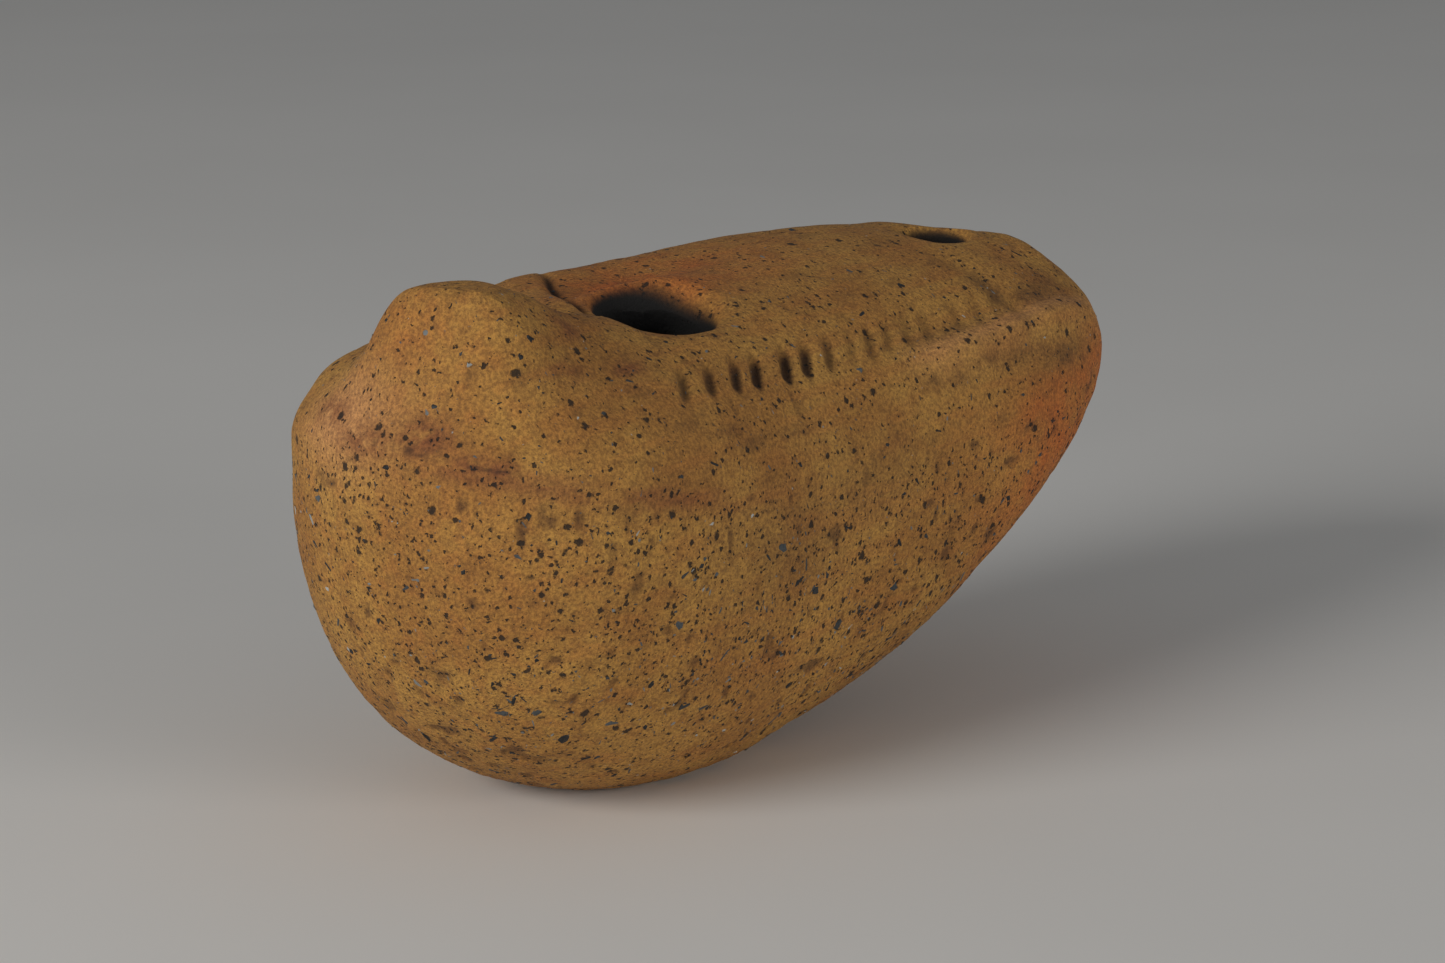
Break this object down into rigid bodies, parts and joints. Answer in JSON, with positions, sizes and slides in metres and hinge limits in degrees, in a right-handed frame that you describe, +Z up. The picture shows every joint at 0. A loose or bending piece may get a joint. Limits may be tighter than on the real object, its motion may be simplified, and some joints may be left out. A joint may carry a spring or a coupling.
{
  "type": "ocarina",
  "caption": "Shell-shaped clay vessel flute with a spire, a blow hole in a shallow lipped hollow, a finger hole near the narrow end and a row of short incised dashes.",
  "frame": {"origin": "under the middle of the body, on the flat resting foot", "axes": "+X from the broad end with the spire to the narrow end; -Y is the side with the row of dashes; +Z up"},
  "size_m": [0.0858, 0.0402, 0.0441],
  "materials": {
    "bowl_clay": "matte",
    "shell_clay": "matte",
    "raw_clay": "matte",
    "spire_clay": "matte",
    "lip_clay": "matte",
    "rib_clay": "matte",
    "cap_clay": "matte",
    "dark_stone": "matte",
    "pale_stone": "matte"
  },
  "bodies": {
    "root": {"lower_bowl": "bowl_clay", "upper_shell": "shell_clay", "seam_coil": "raw_clay", "spire_knob": "spire_clay", "aperture_lip": "lip_clay", "side_rib": "rib_clay", "tip_cap": "cap_clay", "dark_grit": "dark_stone", "pale_grit": "pale_stone"}
  },
  "joints": []
}
